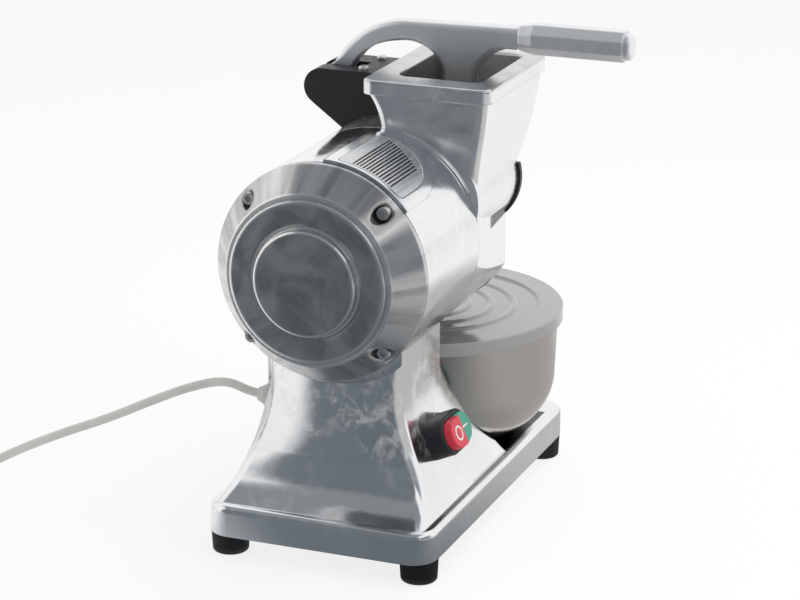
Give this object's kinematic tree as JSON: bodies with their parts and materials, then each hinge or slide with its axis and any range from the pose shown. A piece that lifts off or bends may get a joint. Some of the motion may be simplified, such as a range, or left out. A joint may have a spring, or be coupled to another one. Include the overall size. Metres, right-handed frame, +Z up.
{
  "type": "electric grater",
  "caption": "Tabletop electric grater: cast body with a motor barrel, a hopper with a lever-driven presser over a grating roller, a lidded bowl under the outlet, push buttons and a cord.",
  "frame": {"origin": "on the surface that it stands on, under the middle of the machine without its cord", "axes": "+X from the motor's rear cover to the grating head, -Y to the operator's side with the lever's grip and the push buttons, +Z up"},
  "size_m": [0.3619, 0.591, 0.351],
  "materials": {
    "cast_aluminium": "polished",
    "turned_aluminium": "turned satin",
    "satin_aluminium": "satin",
    "screw_steel": "satin",
    "foot_rubber": "matte",
    "plate_steel": "satin",
    "motor_steel": "satin",
    "winding_copper": "lacquered",
    "bearing_steel": "polished",
    "roller_steel": "satin",
    "black_plastic": "satin",
    "magnet_ferrite": "matte",
    "red_button": "gloss",
    "green_button": "gloss",
    "nut_steel": "satin",
    "grey_plastic": "matte",
    "bowl_steel": "satin",
    "lid_plastic": "satin",
    "cord_grey": "matte",
    "tie_black": "matte",
    "plug_grey": "matte",
    "pin_brass": "polished"
  },
  "bodies": {
    "frame": {"body_casting": "cast_aluminium", "head_casting": "cast_aluminium", "rear_cover": "turned_aluminium", "vent_grille": "satin_aluminium", "cover_screws": "screw_steel", "foot_screws": "screw_steel", "bottom_screws": "screw_steel", "head_bolts": "screw_steel", "end_cover_screws": "screw_steel", "hinge_screws": "screw_steel", "hinge_bolts": "screw_steel", "pivot_pin": "screw_steel", "rubber_feet": "foot_rubber", "bottom_plate": "plate_steel", "stator_core": "motor_steel", "stator_windings": "winding_copper", "motor_bearings": "bearing_steel", "roller_bearings": "bearing_steel", "end_cover": "black_plastic", "hinge_housing": "black_plastic", "switch_housing": "black_plastic", "contact_block": "black_plastic", "reed_switch": "black_plastic", "switch_nut": "nut_steel", "gland_nut": "nut_steel", "cable_gland": "grey_plastic", "run_capacitor": "grey_plastic", "terminal_block": "grey_plastic", "mains_cord": "cord_grey", "cord_coil": "cord_grey", "cord_tie": "tie_black", "plug_body": "plug_grey", "plug_pins": "pin_brass"},
    "rotor": {"motor_shaft": "motor_steel", "rotor_core": "motor_steel", "cooling_fan": "black_plastic", "motor_pinion": "motor_steel"},
    "roller": {"roller_shaft": "roller_steel", "roller_hubs": "satin_aluminium", "grating_drum": "roller_steel", "drive_gear": "motor_steel"},
    "lever": {"lever_casting": "cast_aluminium", "lever_grip": "satin_aluminium", "grip_cap": "satin_aluminium", "lever_magnet": "magnet_ferrite"},
    "start_button": {"start_button": "green_button"},
    "stop_button": {"stop_button": "red_button"},
    "bowl": {"bowl": "bowl_steel"},
    "lid": {"bowl_lid": "lid_plastic"}
  },
  "joints": [
    {"name": "rotor_spin", "type": "hinge", "parent": "frame", "child": "rotor", "pos_m": [-0.12812, 0.03075, 0.2092], "axis": [1, 0, 0], "continuous": true},
    {"name": "roller_spin", "type": "hinge", "parent": "frame", "child": "roller", "pos_m": [0.01188, -0.00625, 0.23611], "axis": [1, 0, 0], "continuous": true},
    {"name": "lever_lift", "type": "hinge", "parent": "frame", "child": "lever", "pos_m": [0.03288, 0.09075, 0.2979], "axis": [-1, 0, 0], "range_deg": [0, 100]},
    {"name": "start_press", "type": "slide", "parent": "frame", "child": "start_button", "axis": [0, 0.9135, -0.4067], "range_m": [0, 0.003], "stiffness_N_per_m": 400},
    {"name": "stop_press", "type": "slide", "parent": "frame", "child": "stop_button", "axis": [0, 0.9135, -0.4067], "range_m": [0, 0.003], "stiffness_N_per_m": 400},
    {"name": "bowl_slide", "type": "slide", "parent": "frame", "child": "bowl", "axis": [1, 0, 0], "range_m": [0, 0.22]},
    {"name": "lid_turn", "type": "hinge", "parent": "bowl", "child": "lid", "pos_m": [0.06187, 0.03075, 0.1312], "axis": [0, 0, 1], "continuous": true}
  ],
  "couplings": [
    {"joint": "roller_spin", "follows": "rotor_spin", "ratio": -0.96774}
  ]
}
